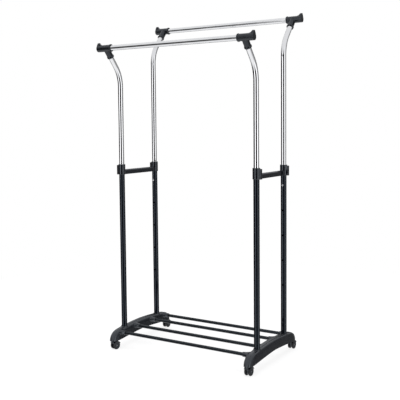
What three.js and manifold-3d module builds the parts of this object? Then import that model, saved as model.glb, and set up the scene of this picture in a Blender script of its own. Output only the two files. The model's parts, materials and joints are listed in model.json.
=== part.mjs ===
// Rolling clothes rack: two height-adjustable hanging rails on four telescopic posts,
// two arched feet joined by four shelf bars, and four twin-wheel swivel casters.
// Millimetres. X runs along the rails, Y from front to back, Z up. The floor is z = 0.
import * as THREE from 'three';
import { mergeVertices } from 'three/addons/utils/BufferGeometryUtils.js';
import Module from 'manifold-3d';

const wasm = await Module();
wasm.setup();

// ---------- driving dimensions ----------
const GAP = 0.3;
const TUBE_SIDES = 20;
const SMALL_SIDES = 12;
const MERGE_TOLERANCE = 1e-4;

const POST_X = 377;
const POST_Y = 140;
const POST_RADIUS = 14;
const POST_WALL = 1;
const POST_BOTTOM = 64;
const POST_TOP = 911;

const ARM_RADIUS = 12.5;
const ARM_WALL = 1;
const ARM_BELOW_BUTTON = 52;
const ARM_BEND_RADIUS = 150;
const ARM_LEAN = 40;

const RAIL_RADIUS = 12.5;
const RAIL_WALL = 1;
const RAIL_Y = 245;
const RAIL_HALF_LENGTH = 417.5;
const FRONT_RAIL_Z = 1480;
const BACK_RAIL_Z = 1610;

const HOLE_PITCH = 120;
const HOLE_COUNT = 5;
const HOLE_RADIUS = 4.4;
const TOP_HOLE_Z = 819;
const FRONT_BUTTON_Z = TOP_HOLE_Z - HOLE_PITCH;
const BACK_BUTTON_Z = TOP_HOLE_Z;

const BUTTON_RADIUS = 4;
const BUTTON_TIP = 17;
const BUTTON_FLANGE_RADIUS = 5.4;
const SPRING_WIDTH = 7;
const SPRING_THICKNESS = 0.8;

const SLEEVE_RADIUS = 17.4;
const SLEEVE_BOTTOM = 866;
const SLEEVE_TOP = 917;
const SLEEVE_BOSS_REACH = 26;
const SLEEVE_BOSS_WIDTH = 17;
const SLEEVE_BOSS_DROP = 4.5;
const BRIDGE_BAR_HEIGHT = 25;
const BRIDGE_BAR_WIDTH = 15;

const TEE_RADIUS = 16.2;
const TEE_LIP_RADIUS = 18.2;
const TEE_INNER_X = 345;
const TEE_OUTER_X = 425.5;
const TEE_BRANCH_LENGTH = 53;
const TEE_EAR_HEIGHT = 27.5;

const SHELF_BAR_RADIUS = 8;
const SHELF_BAR_WALL = 0.9;
const SHELF_BAR_HALF_LENGTH = 366;
const SHELF_BARS = [
  { y: -187.5, z: 80.3 },
  { y: -68.3, z: 85.7 },
  { y: 68.3, z: 85.7 },
  { y: 187.5, z: 80.3 },
];

const FOOT_HALF_WIDTH = 22;
const FOOT_WALL = 3;
const FOOT_RIB_WIDTH = 9;
const FOOT_RIB_HEIGHT = 2.4;
const FOOT_SOCKET_REACH = 24;
const FOOT_SOCKET_ROOT = 15;
const FOOT_SOCKET_WALL = 3;
const FOOT_BAR_BLOCK = 24;
const FOOT_POST_BOSS_WALL = 3.4;
const FOOT_STEM_BOSS_RADIUS = 13;
const FOOT_NOSE_START = 206;
const FOOT_NOSE_LENGTH = 42;
const BELOW_FOOT = 30;
const ABOVE_FOOT = 130;

const CASTER_Y = 226;
const CASTER_TRAIL = 8;
const CASTER_STEM_RADIUS = 5.5;
const CASTER_STEM_TOP = 70;
const CASTER_TOP = 43.6;
const WHEEL_RADIUS = 20;
const WHEEL_INNER_X = 6.4;
const WHEEL_OUTER_X = 15.4;
const WHEEL_SIDES = 18;
const AXLE_RADIUS = 2.5;
const AXLE_HALF_LENGTH = 14.6;
const CASTER_HEADINGS = { front_left: -14, front_right: 0, back_left: 3, back_right: 0 };

// ---------- materials ----------
const finish = {
  chrome: { color: 0xd2d4d6, roughness: 0.12, metalness: 1 },
  black_steel: { color: 0x17191d, roughness: 0.32, metalness: 0.2 },
  black_plastic: { color: 0x2b2d31, roughness: 0.5, metalness: 0 },
  wheel_plastic: { color: 0x232529, roughness: 0.45, metalness: 0 },
  steel: { color: 0x9a9da0, roughness: 0.35, metalness: 1 },
};

// ---------- solid helpers ----------
function toSolid(geometry) {
  const bare = new THREE.BufferGeometry();
  bare.setAttribute('position', geometry.getAttribute('position'));
  bare.setIndex(geometry.index);
  const merged = mergeVertices(bare, MERGE_TOLERANCE);
  const triangles = [];
  for (let i = 0; i < merged.index.count; i += 3) {
    const corners = [0, 1, 2].map((step) => merged.index.getX(i + step));
    if (new Set(corners).size === 3) triangles.push(...corners);
  }
  return new wasm.Manifold(new wasm.Mesh({
    numProp: 3,
    vertProperties: new Float32Array(merged.getAttribute('position').array),
    triVerts: new Uint32Array(triangles),
  }));
}

function toGeometry(solid) {
  const mesh = solid.getMesh();
  const positions = new Float32Array(mesh.vertProperties);
  const geometry = new THREE.BufferGeometry();
  geometry.setAttribute('position', new THREE.BufferAttribute(positions, 3));
  geometry.setIndex(new THREE.BufferAttribute(new Uint32Array(mesh.triVerts), 1));
  geometry.computeVertexNormals();
  return geometry;
}

function unite(solids) {
  return solids.reduce((whole, next) => whole.add(next));
}

function cut(solid, tools) {
  return tools.reduce((whole, tool) => whole.subtract(tool), solid);
}

// A closed profile of [radius, height] pairs turned about Z.
function turned(profile, segments) {
  const points = profile.map(([radius, height]) => new THREE.Vector2(radius, height));
  points.push(points[0].clone());
  const geometry = new THREE.LatheGeometry(points, segments);
  geometry.rotateX(Math.PI / 2);
  return geometry;
}

function rod(radius, bottom, top, segments) {
  return turned([[0, bottom], [radius, bottom], [radius, top], [0, top]], segments);
}

function pipe(radius, wall, bottom, top, segments) {
  const inner = radius - wall;
  return turned([[inner, bottom], [radius, bottom], [radius, top], [inner, top]], segments);
}

// Turns geometry built along Z so that it runs along +X or +Y.
function alongX(geometry) {
  return geometry.rotateY(Math.PI / 2);
}

function alongY(geometry) {
  return geometry.rotateX(-Math.PI / 2);
}

function outline(points) {
  return new THREE.Shape(points.map(([x, y]) => new THREE.Vector2(x, y)));
}

// A side profile of [y, z] points given thickness along X, centred on x = 0.
function slabAcrossX(points, width, bevel, bevelSegments) {
  const options = { depth: width - 2 * bevel, bevelEnabled: bevel > 0, steps: 1 };
  if (bevel > 0) {
    Object.assign(options, { bevelSize: bevel, bevelThickness: bevel });
    Object.assign(options, { bevelOffset: -bevel, bevelSegments });
  }
  const geometry = new THREE.ExtrudeGeometry(outline(points), options);
  geometry.translate(0, 0, -(width - 2 * bevel) / 2);
  geometry.applyMatrix4(new THREE.Matrix4().makeBasis(
    new THREE.Vector3(0, 1, 0),
    new THREE.Vector3(0, 0, 1),
    new THREE.Vector3(1, 0, 0),
  ));
  return geometry;
}

// A plan outline of [x, y] points given height along Z.
function slabUp(points, bottom, top) {
  const options = { depth: top - bottom, bevelEnabled: false };
  const geometry = new THREE.ExtrudeGeometry(outline(points), options);
  geometry.translate(0, 0, bottom);
  return geometry;
}

// ---------- assembly helpers ----------
const rack = new THREE.Group();
rack.name = 'rolling_clothes_rack';

function addPiece(name, geometry, finishName) {
  const material = new THREE.MeshStandardMaterial(finish[finishName]);
  material.name = finishName;
  const mesh = new THREE.Mesh(geometry, material);
  mesh.name = name;
  rack.add(mesh);
}

const CORNERS = [
  { name: 'front_left', side: -1, depth: -1, buttonZ: FRONT_BUTTON_Z, railZ: FRONT_RAIL_Z },
  { name: 'front_right', side: 1, depth: -1, buttonZ: FRONT_BUTTON_Z, railZ: FRONT_RAIL_Z },
  { name: 'back_left', side: -1, depth: 1, buttonZ: BACK_BUTTON_Z, railZ: BACK_RAIL_Z },
  { name: 'back_right', side: 1, depth: 1, buttonZ: BACK_BUTTON_Z, railZ: BACK_RAIL_Z },
];

// A short cylinder that pierces one wall of a tube, on the side facing the rack's middle.
function buttonHole(corner, z) {
  const geometry = alongY(rod(HOLE_RADIUS, 6, 20, 10));
  if (corner.depth > 0) geometry.rotateZ(Math.PI);
  geometry.translate(corner.side * POST_X, corner.depth * POST_Y, z);
  return toSolid(geometry);
}

// ---------- feet ----------
const FOOT_TOP = [
  [0, 104.5], [60, 103], [115, 99.5], [165, 95], [197, 90.3],
  [217, 83], [231, 73], [241, 59.5],
];

const FOOT_UNDERSIDE = [[205, 44.8], [140, 50], [70, 55], [25, 57.5]];

function footProfile(inset) {
  const top = FOOT_TOP.slice(1).map(([y, z]) => [y, z - inset]);
  const nose = inset > 0 ? [] : [[247.5, 44]];
  const under = FOOT_UNDERSIDE.map(([y, z]) => [y, inset > 0 ? z - 6 : z]);
  const half = [...top, ...nose, ...under];
  const mirrored = half.map(([y, z]) => [-y, z]).reverse();
  return [[0, FOOT_TOP[0][1] - inset], ...half, ...mirrored].reverse();
}

// Plan of the foot: straight sides that close to a rounded nose at each end.
function footPlan(inset) {
  const points = [];
  const halfWidth = FOOT_HALF_WIDTH - inset;
  for (const end of [1, -1]) {
    for (let step = 0; step <= 6; step += 1) {
      const angle = (step / 6 - 0.5) * Math.PI;
      const x = -end * halfWidth * Math.sign(Math.sin(angle)) * Math.abs(Math.sin(angle)) ** 0.75;
      const y = end * (FOOT_NOSE_START + (FOOT_NOSE_LENGTH - inset) * Math.cos(angle) ** 0.75);
      points.push([x, y]);
    }
  }
  return points;
}

function footRib() {
  const crest = FOOT_TOP.map(([y, z]) => [y, z + FOOT_RIB_HEIGHT * (1 - (y / 262) ** 6)]);
  const root = FOOT_TOP.map(([y, z]) => [y, z - 6]);
  const tip = [[247.6, 47], [244, 47]];
  const right = [...crest.slice(1), ...tip, ...root.slice(1).reverse().filter(([y]) => y < 240)];
  const left = right.map(([y, z]) => [-y, z]).reverse();
  return toSolid(slabAcrossX([crest[0], ...right, root[0], ...left].reverse(), FOOT_RIB_WIDTH, 0, 0));
}

// Conical socket on the foot's inner face, holding one shelf bar.
function barSocket(bar, rootRadius, tipRadius, from, to) {
  const profile = [[0, from], [rootRadius, from], [tipRadius, to], [0, to]];
  return toSolid(alongX(turned(profile, SMALL_SIDES)).translate(0, bar.y, bar.z));
}

function makeFoot(side) {
  const shell = toSolid(slabAcrossX(footProfile(0), 2 * FOOT_HALF_WIDTH, 6, 2))
    .intersect(toSolid(slabUp(footPlan(0), BELOW_FOOT, ABOVE_FOOT)));
  const socketTip = SHELF_BAR_RADIUS + FOOT_SOCKET_WALL;
  const socketEnd = FOOT_HALF_WIDTH + FOOT_SOCKET_REACH;
  const sockets = SHELF_BARS.map(
    (bar) => barSocket(bar, FOOT_SOCKET_ROOT, socketTip, FOOT_HALF_WIDTH - 8, socketEnd),
  );
  const inside = 2 * (FOOT_HALF_WIDTH - FOOT_WALL);
  const cavity = toSolid(slabAcrossX(footProfile(FOOT_WALL), inside, 0, 0))
    .intersect(toSolid(slabUp(footPlan(FOOT_WALL), BELOW_FOOT, ABOVE_FOOT)));
  const keeps = [];
  for (const end of [-1, 1]) {
    const postBossRadius = POST_RADIUS + GAP + FOOT_POST_BOSS_WALL;
    const postBoss = rod(postBossRadius, BELOW_FOOT, ABOVE_FOOT, SMALL_SIDES);
    const stemBoss = rod(FOOT_STEM_BOSS_RADIUS, BELOW_FOOT, ABOVE_FOOT, SMALL_SIDES);
    keeps.push(toSolid(postBoss.translate(0, end * POST_Y, 0)));
    keeps.push(toSolid(stemBoss.translate(0, end * CASTER_Y, 0)));
  }
  for (const bar of SHELF_BARS) {
    const block = new THREE.BoxGeometry(2 * FOOT_HALF_WIDTH, FOOT_BAR_BLOCK, 90);
    keeps.push(toSolid(block.translate(0, bar.y, bar.z)));
  }
  const hollow = cut(cavity, keeps);
  const bores = [];
  for (const end of [-1, 1]) {
    const postBore = rod(POST_RADIUS + GAP, POST_BOTTOM - GAP, ABOVE_FOOT, TUBE_SIDES);
    bores.push(toSolid(postBore.translate(0, end * POST_Y, 0)));
    const stemBoreTop = CASTER_STEM_TOP + GAP;
    const stemBore = rod(CASTER_STEM_RADIUS + GAP, BELOW_FOOT, stemBoreTop, SMALL_SIDES);
    bores.push(toSolid(stemBore.translate(0, end * CASTER_Y, 0)));
  }
  for (const bar of SHELF_BARS) {
    const start = SHELF_BAR_HALF_LENGTH - POST_X;
    const bore = rod(SHELF_BAR_RADIUS + GAP, -start - GAP, 60, SMALL_SIDES);
    bores.push(toSolid(alongX(bore).translate(0, bar.y, bar.z)));
  }
  const foot = cut(unite([shell, footRib(), ...sockets]), [hollow, ...bores]);
  const geometry = toGeometry(foot);
  if (side > 0) geometry.rotateZ(Math.PI);
  return geometry.translate(side * POST_X, 0, 0);
}

addPiece('left_foot', makeFoot(-1), 'black_plastic');
addPiece('right_foot', makeFoot(1), 'black_plastic');

// ---------- shelf bars ----------
SHELF_BARS.forEach((bar, index) => {
  const end = SHELF_BAR_HALF_LENGTH;
  const tube = pipe(SHELF_BAR_RADIUS, SHELF_BAR_WALL, -end, end, SMALL_SIDES);
  addPiece(`shelf_bar_${index + 1}`, alongX(tube).translate(0, bar.y, bar.z), 'black_steel');
});

// ---------- lower posts ----------
for (const corner of CORNERS) {
  const tube = pipe(POST_RADIUS, POST_WALL, POST_BOTTOM, POST_TOP, TUBE_SIDES);
  tube.translate(corner.side * POST_X, corner.depth * POST_Y, 0);
  const holes = [];
  for (let index = 0; index < HOLE_COUNT; index += 1) {
    holes.push(buttonHole(corner, TOP_HOLE_Z - index * HOLE_PITCH));
  }
  addPiece(`${corner.name}_post`, toGeometry(cut(toSolid(tube), holes)), 'black_steel');
}

// ---------- bridges: two sleeves joined by a bar, on the tops of one side's posts ----------
function roundedBar() {
  const w = BRIDGE_BAR_WIDTH / 2;
  const bottom = SLEEVE_BOTTOM;
  const top = bottom + BRIDGE_BAR_HEIGHT;
  const section = [
    [-w, bottom + 2], [-w + 2, bottom], [w - 2, bottom], [w, bottom + 2],
    [w, top - 6], [w - 1.2, top - 2.6], [w - 4, top - 0.6], [0, top],
    [-w + 4, top - 0.6], [-w + 1.2, top - 2.6], [-w, top - 6],
  ];
  const length = 2 * (POST_Y - POST_RADIUS - 2);
  const geometry = new THREE.ExtrudeGeometry(outline(section), { depth: length, bevelEnabled: false });
  geometry.translate(0, 0, -length / 2);
  geometry.rotateX(Math.PI / 2);
  return toSolid(geometry);
}

function makeBridge(side) {
  const parts = [roundedBar()];
  const bores = [];
  const chamfer = 3;
  const bossOptions = { depth: SLEEVE_BOSS_WIDTH - 2 * chamfer, bevelSegments: 1 };
  Object.assign(bossOptions, { bevelThickness: chamfer, bevelSize: 0.01, bevelOffset: -0.01 });
  for (const end of [-1, 1]) {
    const rim = 1.2;
    const sleeve = turned([
      [0, SLEEVE_BOTTOM], [SLEEVE_RADIUS - rim, SLEEVE_BOTTOM], [SLEEVE_RADIUS, SLEEVE_BOTTOM + rim],
      [SLEEVE_RADIUS, SLEEVE_TOP - rim], [SLEEVE_RADIUS - rim, SLEEVE_TOP], [0, SLEEVE_TOP],
    ], TUBE_SIDES);
    parts.push(toSolid(sleeve.translate(0, end * POST_Y, 0)));
    const boss = new THREE.ExtrudeGeometry(outline([
      [0, SLEEVE_BOTTOM], [SLEEVE_BOSS_REACH, SLEEVE_BOTTOM], [SLEEVE_BOSS_REACH, SLEEVE_TOP - 8],
      [SLEEVE_BOSS_REACH - 2.5, SLEEVE_TOP - SLEEVE_BOSS_DROP], [0, SLEEVE_TOP - SLEEVE_BOSS_DROP],
    ]), bossOptions);
    boss.translate(0, 0, -bossOptions.depth / 2).rotateX(Math.PI / 2);
    parts.push(toSolid(boss.translate(0, end * POST_Y, 0)));
    const postBore = rod(POST_RADIUS + GAP, SLEEVE_BOTTOM - 5, POST_TOP + GAP, TUBE_SIDES);
    const armBore = rod(ARM_RADIUS + GAP, SLEEVE_BOTTOM, SLEEVE_TOP + 5, TUBE_SIDES);
    bores.push(toSolid(postBore.translate(0, end * POST_Y, 0)));
    bores.push(toSolid(armBore.translate(0, end * POST_Y, 0)));
  }
  const geometry = toGeometry(cut(unite(parts), bores));
  if (side < 0) geometry.rotateZ(Math.PI);
  return geometry.translate(side * POST_X, 0, 0);
}

addPiece('left_bridge', makeBridge(-1), 'black_plastic');
addPiece('right_bridge', makeBridge(1), 'black_plastic');

// ---------- arms: chrome tubes that rise straight and then lean out to the rail ----------
const LEAN = THREE.MathUtils.degToRad(ARM_LEAN);
const ARM_OFFSET = RAIL_Y - POST_Y;
const ARM_STRAIGHT = (ARM_OFFSET - ARM_BEND_RADIUS * (1 - Math.cos(LEAN))) / Math.sin(LEAN);
const ARM_BEND_BELOW_RAIL = ARM_STRAIGHT * Math.cos(LEAN) + ARM_BEND_RADIUS * Math.sin(LEAN);
const ARM_END_SHORT_OF_RAIL = RAIL_RADIUS + 3;

class ArmPath extends THREE.Curve {
  constructor(bottom, bendStart, bendSteps) {
    super();
    this.bottom = bottom;
    this.bendStart = bendStart;
    this.bendSteps = bendSteps;
  }

  getPoint(t) {
    const station = t * (this.bendSteps + 2);
    if (station <= 1) {
      return new THREE.Vector3(0, 0, THREE.MathUtils.lerp(this.bottom, this.bendStart, station));
    }
    const angle = LEAN * Math.min((station - 1) / this.bendSteps, 1);
    const beyond = Math.max(station - 1 - this.bendSteps, 0) * (ARM_STRAIGHT - ARM_END_SHORT_OF_RAIL);
    return new THREE.Vector3(
      0,
      ARM_BEND_RADIUS * (1 - Math.cos(angle)) + beyond * Math.sin(LEAN),
      this.bendStart + ARM_BEND_RADIUS * Math.sin(angle) + beyond * Math.cos(LEAN),
    );
  }

  getTangentAt(t) {
    const station = t * (this.bendSteps + 2);
    const angle = LEAN * THREE.MathUtils.clamp((station - 1) / this.bendSteps, 0, 1);
    return new THREE.Vector3(0, Math.sin(angle), Math.cos(angle));
  }

  getSpacedPoints(divisions) {
    return this.getPoints(divisions);
  }
}

for (const corner of CORNERS) {
  const bendSteps = 6;
  const bottom = corner.buttonZ - ARM_BELOW_BUTTON;
  const path = new ArmPath(bottom, corner.railZ - ARM_BEND_BELOW_RAIL, bendSteps);
  const ring = new THREE.Shape().absarc(0, 0, ARM_RADIUS, 0, 2 * Math.PI, false);
  ring.holes.push(new THREE.Path().absarc(0, 0, ARM_RADIUS - ARM_WALL, 0, 2 * Math.PI, true));
  const options = { steps: bendSteps + 2, curveSegments: TUBE_SIDES / 2, extrudePath: path };
  const tube = new THREE.ExtrudeGeometry(ring, options);
  if (corner.depth < 0) tube.rotateZ(Math.PI);
  tube.translate(corner.side * POST_X, corner.depth * POST_Y, 0);
  const drilled = toSolid(tube).subtract(buttonHole(corner, corner.buttonZ));
  addPiece(`${corner.name}_arm`, toGeometry(drilled), 'chrome');
}

// ---------- rails ----------
const RAILS = [['front_rail', -RAIL_Y, FRONT_RAIL_Z], ['back_rail', RAIL_Y, BACK_RAIL_Z]];
for (const [name, y, z] of RAILS) {
  const tube = pipe(RAIL_RADIUS, RAIL_WALL, -RAIL_HALF_LENGTH, RAIL_HALF_LENGTH, TUBE_SIDES);
  addPiece(name, alongX(tube).translate(0, y, z), 'chrome');
}

// ---------- tee connectors ----------
function earPlate() {
  const points = [];
  for (let step = 0; step <= 10; step += 1) {
    const angle = THREE.MathUtils.degToRad(150 + (step / 10) * 240);
    points.push([TEE_RADIUS * Math.cos(angle), TEE_RADIUS * Math.sin(angle)]);
  }
  points.push([8.2, TEE_EAR_HEIGHT - 7], [4.6, TEE_EAR_HEIGHT - 1.6], [0, TEE_EAR_HEIGHT]);
  points.push([-4.6, TEE_EAR_HEIGHT - 1.6], [-8.2, TEE_EAR_HEIGHT - 7]);
  return toSolid(slabAcrossX(points, 11, 2.5, 1).translate(TEE_OUTER_X - 5.5, 0, 0));
}

// Ramp that carries the sleeve's top up to the ear's peak.
function earRamp() {
  const foot = TEE_OUTER_X - 26;
  const head = TEE_OUTER_X - 4;
  const width = 9;
  const geometry = new THREE.ExtrudeGeometry(outline([
    [foot, 12], [head, 12], [head, TEE_EAR_HEIGHT - 3], [head - 5, TEE_EAR_HEIGHT - 3],
    [head - 11, 20.5], [head - 16, 17], [foot, 15],
  ]), { depth: width, bevelEnabled: false });
  geometry.translate(0, 0, -width / 2).rotateX(Math.PI / 2);
  return toSolid(geometry);
}

function makeTee(corner) {
  const sleeve = alongX(turned([
    [0, TEE_INNER_X], [TEE_LIP_RADIUS - 0.8, TEE_INNER_X], [TEE_LIP_RADIUS, TEE_INNER_X + 0.8],
    [TEE_LIP_RADIUS, TEE_INNER_X + 5], [TEE_RADIUS, TEE_INNER_X + 7.5], [TEE_RADIUS, TEE_OUTER_X - 6],
    [0, TEE_OUTER_X - 6],
  ], TUBE_SIDES));
  const foot = -TEE_BRANCH_LENGTH;
  const lip = TEE_LIP_RADIUS - 0.8;
  const neck = TEE_RADIUS - 0.9;
  const branch = turned([
    [0, foot], [lip - 0.7, foot], [lip, foot + 0.8], [lip, foot + 6.5],
    [neck, foot + 9], [neck, 0], [0, 0],
  ], TUBE_SIDES);
  const branchBore = rod(ARM_RADIUS + GAP, foot - 5, -ARM_END_SHORT_OF_RAIL + GAP, TUBE_SIDES);
  for (const piece of [branch, branchBore]) {
    piece.rotateX(-LEAN).translate(POST_X, 0, 0);
  }
  const railBore = alongX(rod(RAIL_RADIUS + GAP, TEE_INNER_X - 5, RAIL_HALF_LENGTH + GAP, TUBE_SIDES));
  const body = unite([toSolid(sleeve), toSolid(branch), earPlate(), earRamp()]);
  const geometry = toGeometry(cut(body, [toSolid(railBore), toSolid(branchBore)]));
  if (corner.depth < 0) geometry.rotateZ(Math.PI);
  if (corner.side * corner.depth < 0) mirrorX(geometry);
  return geometry.translate(0, corner.depth * RAIL_Y, corner.railZ);
}

function mirrorX(geometry) {
  geometry.scale(-1, 1, 1);
  const index = geometry.index;
  for (let i = 0; i < index.count; i += 3) {
    const second = index.getX(i + 1);
    index.setX(i + 1, index.getX(i + 2));
    index.setX(i + 2, second);
  }
  geometry.computeVertexNormals();
}

for (const corner of CORNERS) addPiece(`${corner.name}_tee`, makeTee(corner), 'black_plastic');

// ---------- snap buttons: a button on one leg of a sprung clip, inside each arm ----------
function stripAcrossX(centreline, thickness, width) {
  const left = [];
  const right = [];
  centreline.forEach(([y, z], i) => {
    const before = centreline[Math.max(i - 1, 0)];
    const after = centreline[Math.min(i + 1, centreline.length - 1)];
    const run = Math.hypot(after[0] - before[0], after[1] - before[1]);
    const normal = [-(after[1] - before[1]) / run, (after[0] - before[0]) / run];
    left.push([y + normal[0] * thickness / 2, z + normal[1] * thickness / 2]);
    right.push([y - normal[0] * thickness / 2, z - normal[1] * thickness / 2]);
  });
  return slabAcrossX([...left, ...right.reverse()], width, 0, 0);
}

// A V-shaped strip folded at the bottom. One leg lies on the arm's far wall, and the other
// carries the button.
function clipStrip() {
  const fold = [];
  for (let step = 0; step <= 4; step += 1) {
    const angle = Math.PI * (1 + step / 4);
    fold.push([2.6 * Math.cos(angle) - 1.2, 2.6 * Math.sin(angle) - 42]);
  }
  const centreline = [[-10, -6], [-9.2, -14], ...fold, [7.4, -14], [7.9, 0], [7.9, 7]];
  return toSolid(stripAcrossX(centreline, SPRING_THICKNESS, SPRING_WIDTH));
}

function clipButton() {
  return toSolid(alongY(turned([
    [0, 7.8], [BUTTON_FLANGE_RADIUS, 7.8], [BUTTON_FLANGE_RADIUS, 9.4], [BUTTON_RADIUS, 9.4],
    [BUTTON_RADIUS, BUTTON_TIP - 2], [BUTTON_RADIUS * 0.8, BUTTON_TIP - 0.7],
    [BUTTON_RADIUS * 0.42, BUTTON_TIP - 0.1], [0, BUTTON_TIP],
  ], SMALL_SIDES)));
}

for (const corner of CORNERS) {
  const clip = toGeometry(unite([clipStrip(), clipButton()]));
  if (corner.depth > 0) clip.rotateZ(Math.PI);
  clip.translate(corner.side * POST_X, corner.depth * POST_Y, corner.buttonZ);
  addPiece(`${corner.name}_snap_button`, clip, 'chrome');
}

// ---------- casters ----------
function casterHood() {
  const centre = CASTER_TRAIL;
  const axleZ = WHEEL_RADIUS;
  const webWidth = 2 * (WHEEL_INNER_X - 0.7);
  const web = [];
  for (let step = 0; step <= 10; step += 1) {
    const angle = THREE.MathUtils.degToRad(205 + (step / 10) * 190);
    web.push([centre + 14 * Math.cos(angle), axleZ + 14 * Math.sin(angle)]);
  }
  const top = CASTER_TOP - 2;
  web.push([centre + 15, axleZ + 16], [centre + 8, top], [-8.5, top]);
  web.push([-9.5, top - 4], [centre - 14, axleZ + 4]);
  const fender = [];
  const inner = WHEEL_RADIUS + 0.7;
  const outer = WHEEL_RADIUS + 2.4;
  for (const [radius, from, to] of [[outer, 150, 20], [inner, 20, 150]]) {
    for (let step = 0; step <= 7; step += 1) {
      const angle = THREE.MathUtils.degToRad(from + (step / 7) * (to - from));
      fender.push([centre + radius * Math.cos(angle), axleZ + radius * Math.sin(angle)]);
    }
  }
  const spine = [
    [centre - 17, axleZ + 14], [centre + 17, axleZ + 14], [centre + 12, axleZ + 21], [-6, axleZ + 21],
  ];
  const cap = rod(9.5, WHEEL_RADIUS * 2 + GAP, CASTER_TOP, SMALL_SIDES);
  const body = unite([
    toSolid(slabAcrossX(web, webWidth, 0, 0)),
    toSolid(slabAcrossX(spine.reverse(), webWidth, 0, 0)),
    toSolid(slabAcrossX(fender.reverse(), 2 * WHEEL_OUTER_X, 0, 0)),
    toSolid(cap),
  ]);
  const axleBore = alongX(rod(AXLE_RADIUS + GAP, -20, 20, SMALL_SIDES)).translate(0, centre, axleZ);
  const stemBore = rod(CASTER_STEM_RADIUS - 1.5 + GAP, CASTER_TOP - 12, CASTER_TOP + 5, SMALL_SIDES);
  return toGeometry(cut(body, [toSolid(axleBore), toSolid(stemBore)]));
}

function casterStem() {
  const radius = CASTER_STEM_RADIUS;
  const neck = radius - 1.5;
  const shoulder = CASTER_TOP + 0.4;
  const foot = CASTER_TOP - 11.7;
  const tip = CASTER_STEM_TOP;
  return turned([
    [0, foot], [neck, foot], [neck, shoulder], [radius, shoulder],
    [radius, tip - 5], [radius - 0.8, tip - 4.4], [radius - 0.8, tip - 3], [radius, tip - 2.4],
    [radius - 1.6, tip], [0, tip],
  ], SMALL_SIDES);
}

function casterAxle() {
  const axle = alongX(rod(AXLE_RADIUS, -AXLE_HALF_LENGTH, AXLE_HALF_LENGTH, SMALL_SIDES));
  return axle.translate(0, CASTER_TRAIL, WHEEL_RADIUS);
}

function casterWheel(side) {
  const bore = AXLE_RADIUS + GAP;
  const rim = WHEEL_RADIUS;
  const [a, b] = [WHEEL_INNER_X, WHEEL_OUTER_X];
  const wheel = alongX(turned([
    [bore, a], [rim - 0.6, a], [rim, a + 1], [rim, b - 2.6], [rim - 2.4, b - 0.4],
    [rim - 5, b - 2], [6.5, b - 2], [6, b - 0.4], [bore, b - 0.4],
  ], WHEEL_SIDES));
  if (side < 0) wheel.rotateZ(Math.PI);
  return wheel.translate(0, CASTER_TRAIL, WHEEL_RADIUS);
}

for (const corner of CORNERS) {
  const pieces = [
    ['caster_stem', casterStem(), 'steel'],
    ['caster_hood', casterHood(), 'black_plastic'],
    ['caster_axle', casterAxle(), 'steel'],
    ['wheel_left', casterWheel(-1), 'wheel_plastic'],
    ['wheel_right', casterWheel(1), 'wheel_plastic'],
  ];
  for (const [name, geometry, finishName] of pieces) {
    geometry.rotateZ(THREE.MathUtils.degToRad(CASTER_HEADINGS[corner.name]));
    geometry.translate(corner.side * POST_X, corner.depth * CASTER_Y, 0);
    addPiece(`${corner.name}_${name}`, geometry, finishName);
  }
}

export default rack;
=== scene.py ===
"""Rolling clothes rack: the visible pieces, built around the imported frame.

Metres, +Z up, +X along the rails to the right, +Y to the back. Feet, bridges, tees, clips and
casters are drawn in millimetres, and scaled by MM when they are put in place.
"""
import json
import math

import bmesh
import bpy
from mathutils import Matrix, Vector


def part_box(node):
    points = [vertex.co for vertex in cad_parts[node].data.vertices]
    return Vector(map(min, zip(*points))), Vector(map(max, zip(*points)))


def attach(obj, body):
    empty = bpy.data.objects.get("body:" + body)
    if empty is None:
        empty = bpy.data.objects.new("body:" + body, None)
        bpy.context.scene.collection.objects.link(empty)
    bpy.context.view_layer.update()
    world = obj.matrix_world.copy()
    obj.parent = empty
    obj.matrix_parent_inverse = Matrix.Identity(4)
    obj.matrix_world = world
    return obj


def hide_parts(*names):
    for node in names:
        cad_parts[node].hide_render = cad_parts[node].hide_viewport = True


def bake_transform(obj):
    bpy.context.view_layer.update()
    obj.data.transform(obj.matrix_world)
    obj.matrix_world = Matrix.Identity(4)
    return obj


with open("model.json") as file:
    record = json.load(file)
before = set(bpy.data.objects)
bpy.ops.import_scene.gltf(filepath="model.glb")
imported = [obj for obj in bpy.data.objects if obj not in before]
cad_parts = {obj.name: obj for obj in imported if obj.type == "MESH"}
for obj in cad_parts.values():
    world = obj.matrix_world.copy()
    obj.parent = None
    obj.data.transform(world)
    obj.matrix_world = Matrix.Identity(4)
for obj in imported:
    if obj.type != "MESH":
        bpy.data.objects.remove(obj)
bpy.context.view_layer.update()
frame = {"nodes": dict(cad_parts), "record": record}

MM = 0.001
# Each corner's name, then its side along X and its depth along Y.
CORNERS = [("front_left", -1, -1), ("front_right", 1, -1), ("back_left", -1, 1), ("back_right", 1, 1)]
HANDS = [("left", -1), ("right", 1)]

BEHAVIOUR = frame["record"]["behaviour"]
BODY_OF = {node: body for body, nodes in BEHAVIOUR["bodies"].items() for node in nodes}


# --- reading the frame ---
def middle(node):
    low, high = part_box(node)
    return (low + high) / 2


def size(node):
    low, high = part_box(node)
    return high - low


# --- materials ---
def new_material(name, roughness, metallic=0.0):
    """A Principled material with plain values, some of which a texture then drives."""
    material = bpy.data.materials.new(name)
    material.use_nodes = True
    shader = material.node_tree.nodes["Principled BSDF"]
    shader.inputs["Roughness"].default_value = roughness
    shader.inputs["Metallic"].default_value = metallic
    return material, material.node_tree, shader


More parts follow.
